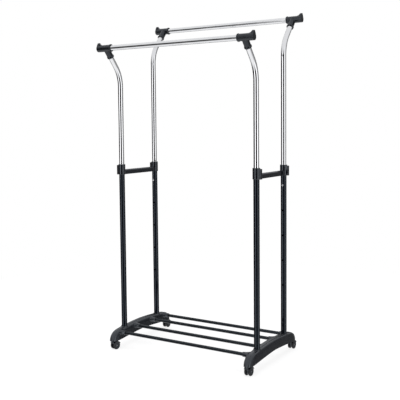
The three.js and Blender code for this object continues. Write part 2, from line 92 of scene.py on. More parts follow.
def noise(tree, scale, detail=4, stretch=(1.0, 1.0, 1.0)):
    """Noise in the object's own coordinates, so it stays on the surface as the piece moves."""
    coordinates = tree.nodes.new("ShaderNodeTexCoord")
    mapping = tree.nodes.new("ShaderNodeMapping")
    mapping.inputs["Scale"].default_value = stretch
    texture = tree.nodes.new("ShaderNodeTexNoise")
    texture.inputs["Scale"].default_value = scale
    texture.inputs["Detail"].default_value = detail
    tree.links.new(coordinates.outputs["Object"], mapping.inputs["Vector"])
    tree.links.new(mapping.outputs["Vector"], texture.inputs["Vector"])
    return texture.outputs["Fac"]


def remapped(tree, factor, low, high, start=0.3, end=0.7):
    node = tree.nodes.new("ShaderNodeMapRange")
    node.inputs["From Min"].default_value = start
    node.inputs["From Max"].default_value = end
    node.inputs["To Min"].default_value = low
    node.inputs["To Max"].default_value = high
    tree.links.new(factor, node.inputs["Value"])
    return node.outputs["Result"]


def tinted(tree, factor, stops):
    """A colour ramp. stops are (position, (r, g, b)) pairs."""
    node = tree.nodes.new("ShaderNodeValToRGB")
    ramp = node.color_ramp
    while len(ramp.elements) < len(stops):
        ramp.elements.new(0.5)
    for element, (position, colour) in zip(ramp.elements, stops):
        element.position = position
        element.color = (*colour, 1.0)
    tree.links.new(factor, node.inputs["Fac"])
    return node.outputs["Color"]


def coloured(tree, shader, factor, stops):
    tree.links.new(tinted(tree, factor, stops), shader.inputs["Base Color"])


def roughened(tree, shader, factor, low, high):
    tree.links.new(remapped(tree, factor, low, high), shader.inputs["Roughness"])


def combined(tree, operation, first, second):
    node = tree.nodes.new("ShaderNodeMath")
    node.operation = operation
    for socket, value in zip(node.inputs, (first, second)):
        if isinstance(value, (int, float)):
            socket.default_value = value
        else:
            tree.links.new(value, socket)
    return node.outputs["Value"]


def bump(tree, shader, height, strength, distance):
    node = tree.nodes.new("ShaderNodeBump")
    node.inputs["Strength"].default_value = strength
    node.inputs["Distance"].default_value = distance
    tree.links.new(height, node.inputs["Height"])
    tree.links.new(node.outputs["Normal"], shader.inputs["Normal"])


def chrome_plate(name, stretch, smooth, hazy):
    """Bright chrome with faint haze, and hairlines that run along the tube."""
    material, tree, shader = new_material(name, smooth, 1.0)
    haze = noise(tree, scale=26, detail=5)
    hairlines = noise(tree, scale=900, detail=3, stretch=stretch)
    coloured(tree, shader, haze, [(0.25, (0.80, 0.81, 0.83)), (0.75, (0.88, 0.885, 0.89))])
    soft = remapped(tree, haze, smooth, hazy)
    scratched = remapped(tree, hairlines, low=0.0, high=0.03, start=0.5, end=0.8)
    scuffed = combined(tree, "ADD", soft, scratched)
    tree.links.new(scuffed, shader.inputs["Roughness"])
    bump(tree, shader, hairlines, strength=0.003, distance=0.00003)
    return material


def black_paint(name, dark, light):
    """Gloss black tube paint: slight orange peel and a cool tone that drifts a little."""
    material, tree, shader = new_material(name, 0.24)
    cloud = noise(tree, scale=18)
    peel = noise(tree, scale=750, detail=2)
    coloured(tree, shader, cloud, [(0.3, dark), (0.7, light)])
    roughened(tree, shader, cloud, 0.08, 0.13)
    shader.inputs["Specular IOR Level"].default_value = 0.5
    shader.inputs["Specular Tint"].default_value = (0.74, 0.87, 1.0, 1.0)
    bump(tree, shader, peel, strength=0.012, distance=0.0002)
    return material


def moulded_plastic(name, dark, light, gloss=0.85, rough=(0.18, 0.27)):
    """Satin moulded plastic: fine spark-eroded grain, flow marks, and a painted highlight that makes
    sharp convex edges a little paler.
    """
    material, tree, shader = new_material(name, 0.45)
    cloud = noise(tree, scale=34, detail=5)
    flow = noise(tree, scale=12, detail=2, stretch=(1.0, 0.35, 1.0))
    grain = noise(tree, scale=1500, detail=2)
    mixed = combined(tree, "MULTIPLY", combined(tree, "ADD", cloud, flow), 0.5)
    geometry = tree.nodes.new("ShaderNodeNewGeometry")
    # Painted highlight: convex edges, found by pointiness, are painted paler in the base colour.
    painted_edge_highlight = remapped(tree, geometry.outputs["Pointiness"], low=0.0, high=0.35, start=0.52, end=0.62)
    toned = combined(tree, "ADD", mixed, painted_edge_highlight)
    coloured(tree, shader, toned, [(0.3, dark), (0.7, light)])
    roughened(tree, shader, cloud, *rough)
    shader.inputs["Specular Tint"].default_value = (0.84, 0.92, 1.0, 1.0)
    shader.inputs["Specular IOR Level"].default_value = gloss
    bump(tree, shader, grain, strength=0.08, distance=0.0002)
    return material


def rolled_rubber(name):
    """The wheels' treads: dull, with dust in the grain."""
    material, tree, shader = new_material(name, 0.62)
    dust = noise(tree, scale=160, detail=6)
    grain = noise(tree, scale=1400, detail=3)
    coloured(tree, shader, dust, [(0.35, (0.004, 0.0042, 0.005)), (0.75, (0.011, 0.011, 0.012))])
    roughened(tree, shader, dust, 0.52, 0.72)
    bump(tree, shader, grain, strength=0.15, distance=0.0002)
    return material


def zinc_plate(name):
    """Zinc-plated steel with turning marks round Z."""
    material, tree, shader = new_material(name, 0.32, 1.0)
    rings = noise(tree, scale=1100, detail=3, stretch=(0.1, 0.1, 1.0))
    cloud = noise(tree, scale=80)
    coloured(tree, shader, cloud, [(0.3, (0.42, 0.43, 0.45)), (0.7, (0.6, 0.6, 0.59))])
    roughened(tree, shader, rings, 0.22, 0.42)
    bump(tree, shader, rings, strength=0.1, distance=0.0001)
    return material


ALONG = 0.03  # the scale of the hairlines along their tube, against 1 across it
ARM_CHROME = chrome_plate("chrome_along_z", (1, 1, ALONG), 0.03, 0.065)
RAIL_CHROME = chrome_plate("chrome_along_x", (ALONG, 1, 1), 0.07, 0.12)
BUTTON_CHROME = chrome_plate("chrome_along_y", (1, ALONG, 1), 0.48, 0.58)
POST_PAINT = black_paint("post_black_paint", (0.0026, 0.003, 0.0052), (0.0045, 0.0051, 0.008))
BAR_PAINT = black_paint("bar_black_paint", (0.002, 0.0022, 0.003), (0.004, 0.0043, 0.0055))
PLASTIC = moulded_plastic("black_plastic", (0.0042, 0.0045, 0.0062), (0.0092, 0.0097, 0.0128))
BRIDGE_PLASTIC = moulded_plastic(
    "bridge_black_plastic", (0.0045, 0.0048, 0.0065), (0.0095, 0.01, 0.013), 0.8, (0.13, 0.19),
)
TEE_PLASTIC = moulded_plastic("tee_black_plastic", (0.003, 0.0032, 0.0042), (0.0075, 0.0078, 0.0098), 0.6)
WHEEL_FACE = moulded_plastic("wheel_face_plastic", (0.007, 0.0075, 0.009), (0.016, 0.0165, 0.019))
TREAD = rolled_rubber("wheel_tread")
ZINC = zinc_plate("zinc_plate")


# --- mesh helpers ---
SHARP_ANGLE = math.radians(38)


def shade(mesh):
    for polygon in mesh.polygons:
        polygon.use_smooth = True
    mesh.set_sharp_from_angle(angle=SHARP_ANGLE)


def placed(name, data):
    obj = bpy.data.objects.new(name, data)
    bpy.context.scene.collection.objects.link(obj)
    return obj


def as_object(name, bm):
    bmesh.ops.recalc_face_normals(bm, faces=bm.faces)
    mesh = bpy.data.meshes.new(name)
    bm.to_mesh(mesh)
    bm.free()
    return placed(name, mesh)


def bake_modifiers(obj):
    bpy.context.view_layer.update()
    graph = bpy.context.evaluated_depsgraph_get()
    mesh = bpy.data.meshes.new_from_object(obj.evaluated_get(graph), depsgraph=graph)
    obj.modifiers.clear()
    obj.data = mesh


def combine(obj, tools, operation):
    """Joins or cuts obj with each tool, then removes the tools."""
    for bm in tools:
        tool = as_object("tool", bm)
        modifier = obj.modifiers.new(operation, "BOOLEAN")
        modifier.operation = operation
        modifier.solver = "EXACT"
        modifier.object = tool
        bake_modifiers(obj)
        bpy.data.objects.remove(tool)


def fuse(obj, voxel, smoothing, keep):
    """Melts overlapping closed shapes into one skin with small fillets, like one moulding."""
    remesh = obj.modifiers.new("fuse", "REMESH")
    remesh.mode = "VOXEL"
    remesh.voxel_size = voxel
    soften = obj.modifiers.new("soften", "SMOOTH")
    soften.factor = 0.5
    soften.iterations = smoothing
    thin = obj.modifiers.new("thin", "DECIMATE")
    thin.ratio = keep
    bake_modifiers(obj)


def clad(obj, node, materials):
    """Gives a finished piece its materials and smooth shading, and hides the CAD node it stands for."""
    obj.data.materials.clear()
    for material in materials:
        obj.data.materials.append(material)
    shade(obj.data)
    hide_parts(node)


def dress(obj, node, materials):
    """Clads a rigid piece and puts it on the CAD node's body."""
    clad(obj, node, materials)
    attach(obj, BODY_OF[node])


def copied(obj, name, matrix):
    """A copy of obj's mesh moved by matrix, with its faces kept outward when mirrored."""
    mesh = obj.data.copy()
    mesh.transform(matrix)
    if matrix.determinant() < 0:
        mesh.flip_normals()
    return placed(name, mesh)


def rounded(points, radius, steps=4, closed=True):
    """An outline whose corners are rounded, each by no more than a third of its edges."""
    smooth = []
    count = len(points)
    for index, point in enumerate(points):
        corner = Vector(point)
        if not closed and index in (0, count - 1):
            smooth.append(corner)
            continue
        before = Vector(points[index - 1]) - corner
        after = Vector(points[(index + 1) % count]) - corner
        reach = min(radius, before.length / 3, after.length / 3)
        start = corner + before.normalized() * reach
        end = corner + after.normalized() * reach
        for step in range(steps + 1):
            t = step / steps
            smooth.append(start * (1 - t) ** 2 + corner * 2 * t * (1 - t) + end * t * t)
    return smooth


def arc(centre, radius, start, end, steps):
    """Points on an arc, with its angles in degrees."""
    points = []
    for step in range(steps + 1):
        angle = math.radians(start + (end - start) * step / steps)
        points.append((centre[0] + radius * math.cos(angle), centre[1] + radius * math.sin(angle)))
    return points


def round_angles(count):
    return [2 * math.pi * step / count for step in range(count)]


ON_AXIS = 1e-7  # a radius below this is a point on the axis


def turned(profile, segments, matrix=Matrix()):
    """Turns (radius, height) points about Z. The profile starts and ends on the axis, or closes."""
    bm = bmesh.new()
    rings = []
    for radius, height in profile:
        if radius < ON_AXIS:
            rings.append([bm.verts.new(matrix @ Vector((0, 0, height)))])
            continue
        points = []
        for angle in round_angles(segments):
            points.append(Vector((radius * math.cos(angle), radius * math.sin(angle), height)))
        rings.append([bm.verts.new(matrix @ point) for point in points])
    closed = len(rings[0]) > 1
    pairs = list(zip(rings, rings[1:] + rings[:1] if closed else rings[1:]))
    for low, high in pairs:
        bridge(bm, low, high)
    return bm


def bridge(bm, low, high):
    """Quads between two rings, or a fan where one of them is a single point."""
    count = max(len(low), len(high))
    for step in range(count):
        after = (step + 1) % count
        corners = [low[step % len(low)], low[after % len(low)]]
        corners += [high[after % len(high)], high[step % len(high)]]
        bm.faces.new(list(dict.fromkeys(corners)))


def prism(outline, depth, matrix):
    """An outline in the XY plane given depth, centred on z = 0, then moved by matrix."""
    bm = bmesh.new()
    caps = []
    for z in (-depth / 2, depth / 2):
        caps.append([bm.verts.new(matrix @ Vector((x, y, z))) for x, y in outline])
    bm.faces.new(caps[0][::-1])
    bm.faces.new(caps[1])
    bridge(bm, caps[0], caps[1])
    return bm


def lofted(sections):
    """A closed solid through rings of points, each with the same number of points."""
    bm = bmesh.new()
    rings = [[bm.verts.new(point) for point in section] for section in sections]
    for low, high in zip(rings, rings[1:]):
        bridge(bm, low, high)
    bm.faces.new(rings[0])
    bm.faces.new(rings[-1])
    return bm


# How many sides round pieces have.
SMALL_SIDES = 40
COARSE_SIDES = 48
ROD_SIDES = 64
FINE_SIDES = 72


def tool_rod(radius, start, end, matrix):
    """A round rod along the matrix's Z axis, to cut with or to keep material with."""
    return turned([(0, start), (radius, start), (radius, end), (0, end)], ROD_SIDES, matrix)


def at_y(y):
    return Matrix.Translation((0, y, 0))


ALONG_X = Matrix.Rotation(math.pi / 2, 4, "Y")
ALONG_Y = Matrix.Rotation(-math.pi / 2, 4, "X")
# Puts an outline drawn as (y, z) into the YZ plane, with its depth along X.
SIDE_ON = Matrix(((0, 0, 1, 0), (1, 0, 0, 0), (0, 1, 0, 0), (0, 0, 0, 1)))
# Puts an outline drawn as (x, z) into the XZ plane, with its depth along Y.
FRONT_ON = Matrix(((1, 0, 0, 0), (0, 0, -1, 0), (0, 1, 0, 0), (0, 0, 0, 1)))


# --- tubes ---
TUBE_SIDES = 64
LIP = 0.25 * MM  # the rounding of a tube's ends and of its holes' edges
PATCH = 5  # a lock hole takes this many columns and rows of the tube's grid each way


class TubeSkin:
    """One skin of a tube, as a grid of columns round it and levels along it, with round holes."""

    def __init__(self, bm, place, radius, levels, holes, hole_radius, pitch, sunk):
        self.bm = bm
        self.place = place
        self.radius = radius
        self.levels = levels
        self.pitch = pitch
        self.made = {}
        self.hole_column = 3 * TUBE_SIDES // 4  # three quarters round, on the side towards y = 0
        starts = [levels.index(hole) for hole in holes]
        for low in range(len(levels) - 1):
            for column in range(TUBE_SIDES):
                if not any(self.in_patch(low, column, start) for start in starts):
                    self.quad(low, column)
        self.rims = [self.hole(start, hole_radius, sunk) for start in starts]

    def in_patch(self, low, column, start):
        inside = -PATCH <= column - self.hole_column < PATCH
        return inside and -PATCH <= low - start < PATCH

    def vertex(self, level, column):
        key = (level, column % TUBE_SIDES)
        if key not in self.made:
            angle = 2 * math.pi * key[1] / TUBE_SIDES
            self.made[key] = self.bm.verts.new(self.place(self.radius, angle, self.levels[level]))
        return self.made[key]

    def quad(self, low, column):
        corners = [(low, column), (low, column + 1), (low + 1, column + 1), (low + 1, column)]
        self.bm.faces.new([self.vertex(*corner) for corner in corners])

    def ring(self, level):
        return [self.vertex(level, column) for column in range(TUBE_SIDES)]

    def hole(self, start, hole_radius, sunk):
        """Fills the patch round one hole and returns the ring at its edge."""
        side = [(step, -PATCH) for step in range(-PATCH, PATCH)]
        edge = []
        for _ in range(4):
            edge += side
            side = [(-row, column) for column, row in side]
        centre = 2 * math.pi * self.hole_column / TUBE_SIDES
        step_angle = 2 * math.pi / TUBE_SIDES
        loops = [[self.vertex(start + row, self.hole_column + column) for column, row in edge]]
        for radius, share, depth in (
            (hole_radius + 3 * LIP, 0.5, 0.0),
            (hole_radius + LIP, 1.0, 0.0),
            (hole_radius, 1.0, sunk),
        ):
            loop = []
            for column, row in edge:
                across = self.radius * math.sin(column * step_angle)
                along = row * self.pitch
                turn = math.atan2(along, across)
                round_angle = math.asin(radius * math.cos(turn) / self.radius)
                angle = centre + share * round_angle + (1 - share) * column * step_angle
                level = share * radius * math.sin(turn) + (1 - share) * along
                point = self.place(self.radius - depth, angle, self.levels[start] + level)
                loop.append(self.bm.verts.new(point))
            loops.append(loop)
        for outer, inner in zip(loops, loops[1:]):
            bridge(self.bm, outer, inner)
        return loops[-1]


def tube_levels(start, end, extra, holes, pitch):
    """Levels along a tube: its ends, the extra ones, and a fine set at each hole."""
    levels = [start, end, *extra]
    for hole in holes:
        levels = [level for level in levels if abs(level - hole) > PATCH * pitch]
        levels += [hole + step * pitch for step in range(-PATCH, PATCH + 1)]
    return sorted(levels)


def tube(name, place, outer, inner, start, end, extra=(), holes=(), hole_radius=0.0):
    """A hollow tube with rounded ends and round holes. place(radius, angle, level) gives a point."""
    bm = bmesh.new()
    pitch = 2 * math.pi * outer / TUBE_SIDES
    levels = tube_levels(start + LIP, end - LIP, extra, holes, pitch)
    outside = TubeSkin(bm, place, outer, levels, holes, hole_radius, pitch, LIP)
    inside = TubeSkin(bm, place, inner, levels, holes, hole_radius, pitch, 0.0)
    for one, other in zip(outside.rims, inside.rims):
        bridge(bm, one, other)
    for level, last in ((start, 0), (end, len(levels) - 1)):
        rims = []
        for radius in (outer - LIP, inner + LIP):
            points = [place(radius, angle, level) for angle in round_angles(TUBE_SIDES)]
            rims.append([bm.verts.new(point) for point in points])
        loops = [outside.ring(last), *rims, inside.ring(last)]
        for one, other in zip(loops, loops[1:]):
            bridge(bm, one, other)
    return as_object(name, bm)


def wall_levels(start, end, count=8):
    """The levels that divide a plain stretch of tube into count equal lengths."""
    return [start + (end - start) * step / count for step in range(1, count)]


HOLE_PITCH = 120 * MM
HOLE_COUNT = 5
HOLE_RADIUS = 4.4 * MM
TUBE_WALL = 1.0 * MM
BAR_WALL = 0.9 * MM


def button_height(corner):
    """The button's axis: its tip is the part of the clip that reaches nearest to y = 0."""
    clip = frame["nodes"][f"{corner}_snap_button"].data
    tip = min(clip.vertices, key=lambda vertex: abs(vertex.co.y))
    return tip.co.z


def build_post(corner, depth):
    node = f"{corner}_post"
    low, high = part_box(node)
    centre = middle(node)
    radius = size(node).x / 2
    top_hole = button_height("back_left")
    holes = [top_hole - index * HOLE_PITCH for index in range(HOLE_COUNT)]

    def place(r, angle, level):
        out = depth * r * math.sin(angle)
        return Vector((centre.x + r * math.cos(angle), centre.y + out, level))

    extra = wall_levels(low.z, high.z)
    inner = radius - TUBE_WALL
    piece = tube(f"{corner}_post_tube", place, radius, inner, low.z, high.z, extra, holes, HOLE_RADIUS)
    dress(piece, node, [POST_PAINT])


ARM_LEAN = math.radians(40)
ARM_BEND_RADIUS = 150 * MM
ARM_END_SHORT = 3 * MM  # the arm stops this far short of the rail's surface
BEND_STEP = math.radians(2)


def build_arm(corner, depth):
    """A chrome tube that rises straight, bends outward and ends inside its tee."""
    node = f"{corner}_arm"
    post = middle(f"{corner}_post")
    rail_node = f"{corner.split('_')[0]}_rail"
    rail = middle(rail_node)
    rail_radius = size(rail_node).z / 2
    radius = size(node).x / 2
    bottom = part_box(node)[0].z
    reach = abs(rail.y - post.y)
    leaning = (reach - ARM_BEND_RADIUS * (1 - math.cos(ARM_LEAN))) / math.sin(ARM_LEAN)
    bend_start = rail.z - leaning * math.cos(ARM_LEAN) - ARM_BEND_RADIUS * math.sin(ARM_LEAN)
    bend_end = bend_start + ARM_BEND_RADIUS * ARM_LEAN
    end = bend_end + leaning - rail_radius - ARM_END_SHORT

    def place(r, angle, level):
        turn = min(max((level - bend_start) / ARM_BEND_RADIUS, 0), ARM_LEAN)
        past = max(level - bend_end, 0)
        out = ARM_BEND_RADIUS * (1 - math.cos(turn)) + past * math.sin(turn)
        up = ARM_BEND_RADIUS * math.sin(turn) + past * math.cos(turn)
        out += r * math.sin(angle) * math.cos(turn)
        up -= r * math.sin(angle) * math.sin(turn)
        return Vector((
            post.x + r * math.cos(angle),
            post.y + depth * out,
            min(level, bend_start) + up,
        ))

    steps = round(ARM_LEAN / BEND_STEP)
    bend = [bend_start + ARM_BEND_RADIUS * BEND_STEP * step for step in range(steps + 1)]
    extra = wall_levels(bottom, bend_start) + bend + wall_levels(bend_end, end, 4)
    holes = [button_height(corner)]
    inner = radius - TUBE_WALL
    piece = tube(f"{corner}_arm_tube", place, radius, inner, bottom, end, extra, holes, HOLE_RADIUS)
    dress(piece, node, [ARM_CHROME])


def build_cross_tube(node, wall, material):
    """A straight tube along X, such as a rail or a shelf bar."""
    low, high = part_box(node)
    centre = middle(node)
    radius = size(node).z / 2

    def place(r, angle, level):
        return Vector((level, centre.y + r * math.cos(angle), centre.z + r * math.sin(angle)))

    extra = wall_levels(low.x, high.x)
    piece = tube(f"{node}_tube", place, radius, radius - wall, low.x, high.x, extra)
    dress(piece, node, [material])


# --- feet ---
# FOOT_TOP and FOOT_UNDERSIDE are (y, z) points from the middle of the foot to its nose.
FOOT_TOP = [
    (0, 104.5), (60, 103), (115, 99.5), (165, 95), (197, 90.3),
    (217, 83), (231, 73), (241, 59.5), (247.5, 44),
]
FOOT_UNDERSIDE = [(0, 58), (25, 57.5), (70, 55), (140, 50), (205, 44.8), (247.5, 44)]
FOOT_HALF_WIDTH = 22
FOOT_SHOULDER = 9
FOOT_SHOULDER_DROP = 24
SHOULDER_SHARE = 0.8  # the most that the shoulder takes of a section's half width or height
DROP_SHARE = 0.6  # the most that its drop takes of the height
SHOULDER_INSET = 0.8  # how much smaller the shoulder is for each millimetre of inset
SHOULDER_STEPS = 8
LEAST_HEIGHT = 0.1  # keeps the sections at the nose's tips open
FOOT_DRAFT = 0.7
FOOT_WALL = 3
CAVITY_OVERCUT = 6  # how far the cavity's solid goes below the foot
FOOT_RIB_HALF_WIDTH = 7.2
FOOT_RIB_HEIGHT = 2.4
FOOT_RIB_FADE = 262
FOOT_RIB_POWER = 6
RIB_WIDTH_SHARE = 0.45
NOSE_START = 206
NOSE_LENGTH = 42
NOSE_POWER = 0.75
NOSE_TIP = 0.02
BODY_STEPS = 26
NOSE_STEPS = 30
BELOW_FOOT = 20
ABOVE_FOOT = 120
ABOVE_COLLAR = 130
POST_HOLD = 3.4  # wall of the boss round a post
STEM_HOLD = 13  # radius of the boss round a caster's stem
STEM_BORE = 5.8
SOCKET_SUNK = 8
SOCKET_REACH = 24
SOCKET_ROOT = 15
SOCKET_ROOT_SPREAD = 23
SOCKET_TIP = 11
SOCKET_FLARE = 1.7
SOCKET_EDGE_DEPTH = 0.8
SOCKET_EDGE_TRIM = 0.6
SOCKET_STEPS = 12
SOCKET_BLOCK = 12  # half the length of the block behind a socket
SOCKET_MOUTH = 70
COLLAR_WALL = 3.2
COLLAR_TOP_WALL = 2.5
COLLAR_EDGE = 0.7
COLLAR_SUNK = 9
CROSS_RIB = 1.8
CROSS_RIB_PLACES = (-100, -35, 35, 100)
CAVITY_WIDTH = 60  # wider than the cavity, so that blocks and ribs cross it
FIT = 0.35


def along_curve(points, y):
    """Height at y on a smooth curve through (y, z) points, which are in order of y."""
    last = len(points) - 2
    index = min(max(sum(1 for point in points[1:] if point[0] < y), 0), last)
    (y0, z0), (y1, z1) = points[index], points[index + 1]
    before = points[index - 1] if index > 0 else (-points[1][0], points[1][1])
    after = points[index + 2] if index < last else points[index + 1]
    t = (y - y0) / (y1 - y0)
    slope0 = (z1 - before[1]) / (y1 - before[0]) * (y1 - y0)
    slope1 = (after[1] - z0) / (after[0] - y0) * (y1 - y0)
    rise = (2 * t**3 - 3 * t**2 + 1) * z0 + (t**3 - 2 * t**2 + t) * slope0
    return rise + (3 * t**2 - 2 * t**3) * z1 + (t**3 - t**2) * slope1


def foot_stations(inset):
    """(y, half width) along the foot, closing to a rounded nose at each end."""
    half = [(NOSE_START * step / BODY_STEPS, 1.0) for step in range(BODY_STEPS)]
    for step in range(NOSE_STEPS + 1):
        turn = math.pi / 2 * step / NOSE_STEPS
        y = NOSE_START + (NOSE_LENGTH - inset) * math.sin(turn)
        half.append((y, math.cos(turn) ** NOSE_POWER))
    half[-1] = (half[-1][0], NOSE_TIP)
    stations = [(-y, width) for y, width in reversed(half[1:])] + half
    return [(y, width * (FOOT_HALF_WIDTH - inset)) for y, width in stations]


def foot_section(y, width, inset, rib):
    """Half of a cross-section, from the middle of the top out and down to the underside."""
    reach = min(abs(y), FOOT_TOP[-1][0])
    top = along_curve(FOOT_TOP, reach) - inset
    under = along_curve(FOOT_UNDERSIDE, reach)
    bottom = under - CAVITY_OVERCUT if inset else min(under, top - LEAST_HEIGHT / 2)
    height = max(top - bottom, LEAST_HEIGHT)
    full = FOOT_SHOULDER - inset * SHOULDER_INSET
    shoulder = min(full, width * SHOULDER_SHARE, height * SHOULDER_SHARE)
    drop = min(FOOT_SHOULDER_DROP, height * DROP_SHARE)
    points = [(0.0, top)]
    if rib:
        rise = FOOT_RIB_HEIGHT * (1 - (abs(y) / FOOT_RIB_FADE) ** FOOT_RIB_POWER)
        half = min(FOOT_RIB_HALF_WIDTH, width * RIB_WIDTH_SHARE)
        points = [(0.0, top + rise), (half * 0.88, top + rise), (half, top + rise * 0.7)]
        points += [(half * 1.04, top - 0.6), (half * 1.2, top - 0.1)]
    for step in range(SHOULDER_STEPS + 1):
        turn = math.pi / 2 * step / SHOULDER_STEPS
        x = width - FOOT_DRAFT * width / FOOT_HALF_WIDTH - shoulder * (1 - math.sin(turn))
        points.append((x, top - drop * (1 - math.cos(turn))))
    points.append((width, bottom))
    return points


def foot_loft(inset, rib):
    """The foot as a closed solid, in millimetres, centred on x = 0."""
    sections = []
    for y, width in foot_stations(inset):
        half = foot_section(y, width, inset, rib)
        points = half + [(-x, z) for x, z in reversed(half[1:])]
        sections.append([(x, y, z) for x, z in points])
    return lofted(sections)


def socket(bar_y, bar_z):
    """A wedge-shaped socket on the foot's inner side, wide at its root, which holds one shelf bar."""
    start = FOOT_HALF_WIDTH - SOCKET_SUNK
    end = FOOT_HALF_WIDTH + SOCKET_REACH
    sections = []
    for step in range(SOCKET_STEPS + 2):
        share = min(step / SOCKET_STEPS, 1)
        flare = (1 - share) ** SOCKET_FLARE
        trim = SOCKET_EDGE_TRIM if step > SOCKET_STEPS else 0
        spread = SOCKET_TIP + (SOCKET_ROOT_SPREAD - SOCKET_TIP) * flare - trim
        rise = SOCKET_TIP + (SOCKET_ROOT - SOCKET_TIP) * flare - trim
        edge = SOCKET_EDGE_DEPTH if step > SOCKET_STEPS else 0
        x = start + (end - SOCKET_EDGE_DEPTH - start) * share + edge
        section = []
        for angle in round_angles(COARSE_SIDES):
            section.append((x, bar_y + spread * math.cos(angle), bar_z + rise * math.sin(angle)))
        sections.append(section)
    return lofted(sections)


def collar(post_y, post_radius):
    """A low ring on the foot's top, round the post."""
    top = along_curve(FOOT_TOP, abs(post_y)) + FOOT_RIB_HEIGHT
    bottom = top - COLLAR_SUNK
    wall = post_radius + COLLAR_WALL
    profile = [(0, bottom), (wall, bottom), (wall, top - COLLAR_EDGE)]
    profile += [(post_radius + COLLAR_TOP_WALL, top), (0, top)]
    return turned(profile, ROD_SIDES, at_y(post_y))


def foot_cavity(posts, stems, bars, post_radius):
    """The hollow underneath, less the bosses, blocks and cross ribs that stand in it."""
    cavity = as_object("cavity", foot_loft(FOOT_WALL, False))
    keeps = []
    rods = [(y, post_radius + POST_HOLD) for y in posts] + [(y, STEM_HOLD) for y in stems]
    for y, radius in rods:
        keeps.append(tool_rod(radius, BELOW_FOOT, ABOVE_FOOT, at_y(y)))
    walls = [(y, SOCKET_BLOCK) for y, _ in bars] + [(y, CROSS_RIB / 2) for y in CROSS_RIB_PLACES]
    for y, half in walls:
        outline = [(y - half, BELOW_FOOT), (y + half, BELOW_FOOT)]
        outline += [(y + half, ABOVE_FOOT), (y - half, ABOVE_FOOT)]
        keeps.append(prism(outline, CAVITY_WIDTH, SIDE_ON))
    combine(cavity, keeps, "DIFFERENCE")
    mesh = cavity.data
    bpy.data.objects.remove(cavity)
    bm = bmesh.new()
    bm.from_mesh(mesh)
    return bm


def build_feet():
    """One arched shell, hollow underneath, used for both sides."""
    low_post = middle("front_left_post")
    post_radius = size("front_left_post").x / 2 / MM
    post_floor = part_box("front_left_post")[0].z / MM
    stem = middle("front_left_caster_stem")
    stem_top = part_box("front_left_caster_stem")[1].z / MM
    bars = [(middle(f"shelf_bar_{n}").y / MM, middle(f"shelf_bar_{n}").z / MM) for n in range(1, 5)]
    bar_radius = size("shelf_bar_1").z / 2 / MM
    bar_start = (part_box("shelf_bar_1")[0].x - low_post.x) / MM
    posts = [low_post.y / MM, -low_post.y / MM]
    stems = [stem.y / MM, -stem.y / MM]
    foot = as_object("left_foot_shell", foot_loft(0, True))
    hollow = foot_cavity(posts, stems, bars, post_radius)
    combine(foot, [socket(y, z) for y, z in bars] + [collar(y, post_radius) for y in posts], "UNION")
    cuts = [hollow]
    for y in posts:
        cuts.append(tool_rod(post_radius + FIT, post_floor - FIT, ABOVE_COLLAR, at_y(y)))
    for y in stems:
        cuts.append(tool_rod(STEM_BORE, BELOW_FOOT, stem_top + FIT, at_y(y)))
    for y, z in bars:
        seat = Matrix.Translation((0, y, z)) @ ALONG_X
        cuts.append(tool_rod(bar_radius + FIT, bar_start - FIT, SOCKET_MOUTH, seat))
    combine(foot, cuts, "DIFFERENCE")
    fuse(foot, voxel=0.8, smoothing=2, keep=0.4)
    foot.data.transform(Matrix.Translation((low_post.x, 0, 0)) @ Matrix.Scale(MM, 4))
    right = copied(foot, "right_foot_shell", Matrix.Scale(-1, 4, (1, 0, 0)))
    dress(foot, "left_foot", [PLASTIC])
    dress(right, "right_foot", [PLASTIC])


# --- bridges ---
BOSS_REACH = 26
BOSS_WIDTH = 17
BOSS_DROP = 4.5
BRIDGE_HEIGHT = 25
BRIDGE_HALF_WIDTH = 7.5
BRIDGE_CHAMFER = (4.5, 5)  # across, and down
OVERCUT = 5  # how far a cutting rod runs past the moulding that it cuts


def bridge_bar(bottom, half_length):
    """The bar between the sleeves, with its top edges cut off."""
    wide = BRIDGE_HALF_WIDTH
    top = bottom + BRIDGE_HEIGHT
    across, down = BRIDGE_CHAMFER
    outline = [(-wide, bottom), (wide, bottom), (wide, top - down), (wide - across, top)]
    outline += [(-wide + across, top), (-wide, top - down)]
    return prism(rounded(outline, 2.2), 2 * half_length, FRONT_ON)


def bridge_sleeve(bottom, top, radius, y):
    """The round sleeve on a post, a touch wider at its top."""
    profile = [(0, bottom), (radius, bottom), (radius, top - 6), (radius + 0.1, top), (0, top)]
    return turned(rounded(profile, 1.6, closed=False), ROD_SIDES, at_y(y))


def bridge_boss(bottom, top, y):
    """The square-cut boss on a sleeve's outer side."""
    half = BOSS_WIDTH / 2
    plan = [(0, -half), (BOSS_REACH, -half), (BOSS_REACH, half), (0, half)]
    height = top - BOSS_DROP - bottom
    return prism(rounded(plan, 3.2), height, Matrix.Translation((0, y, bottom + height / 2)))


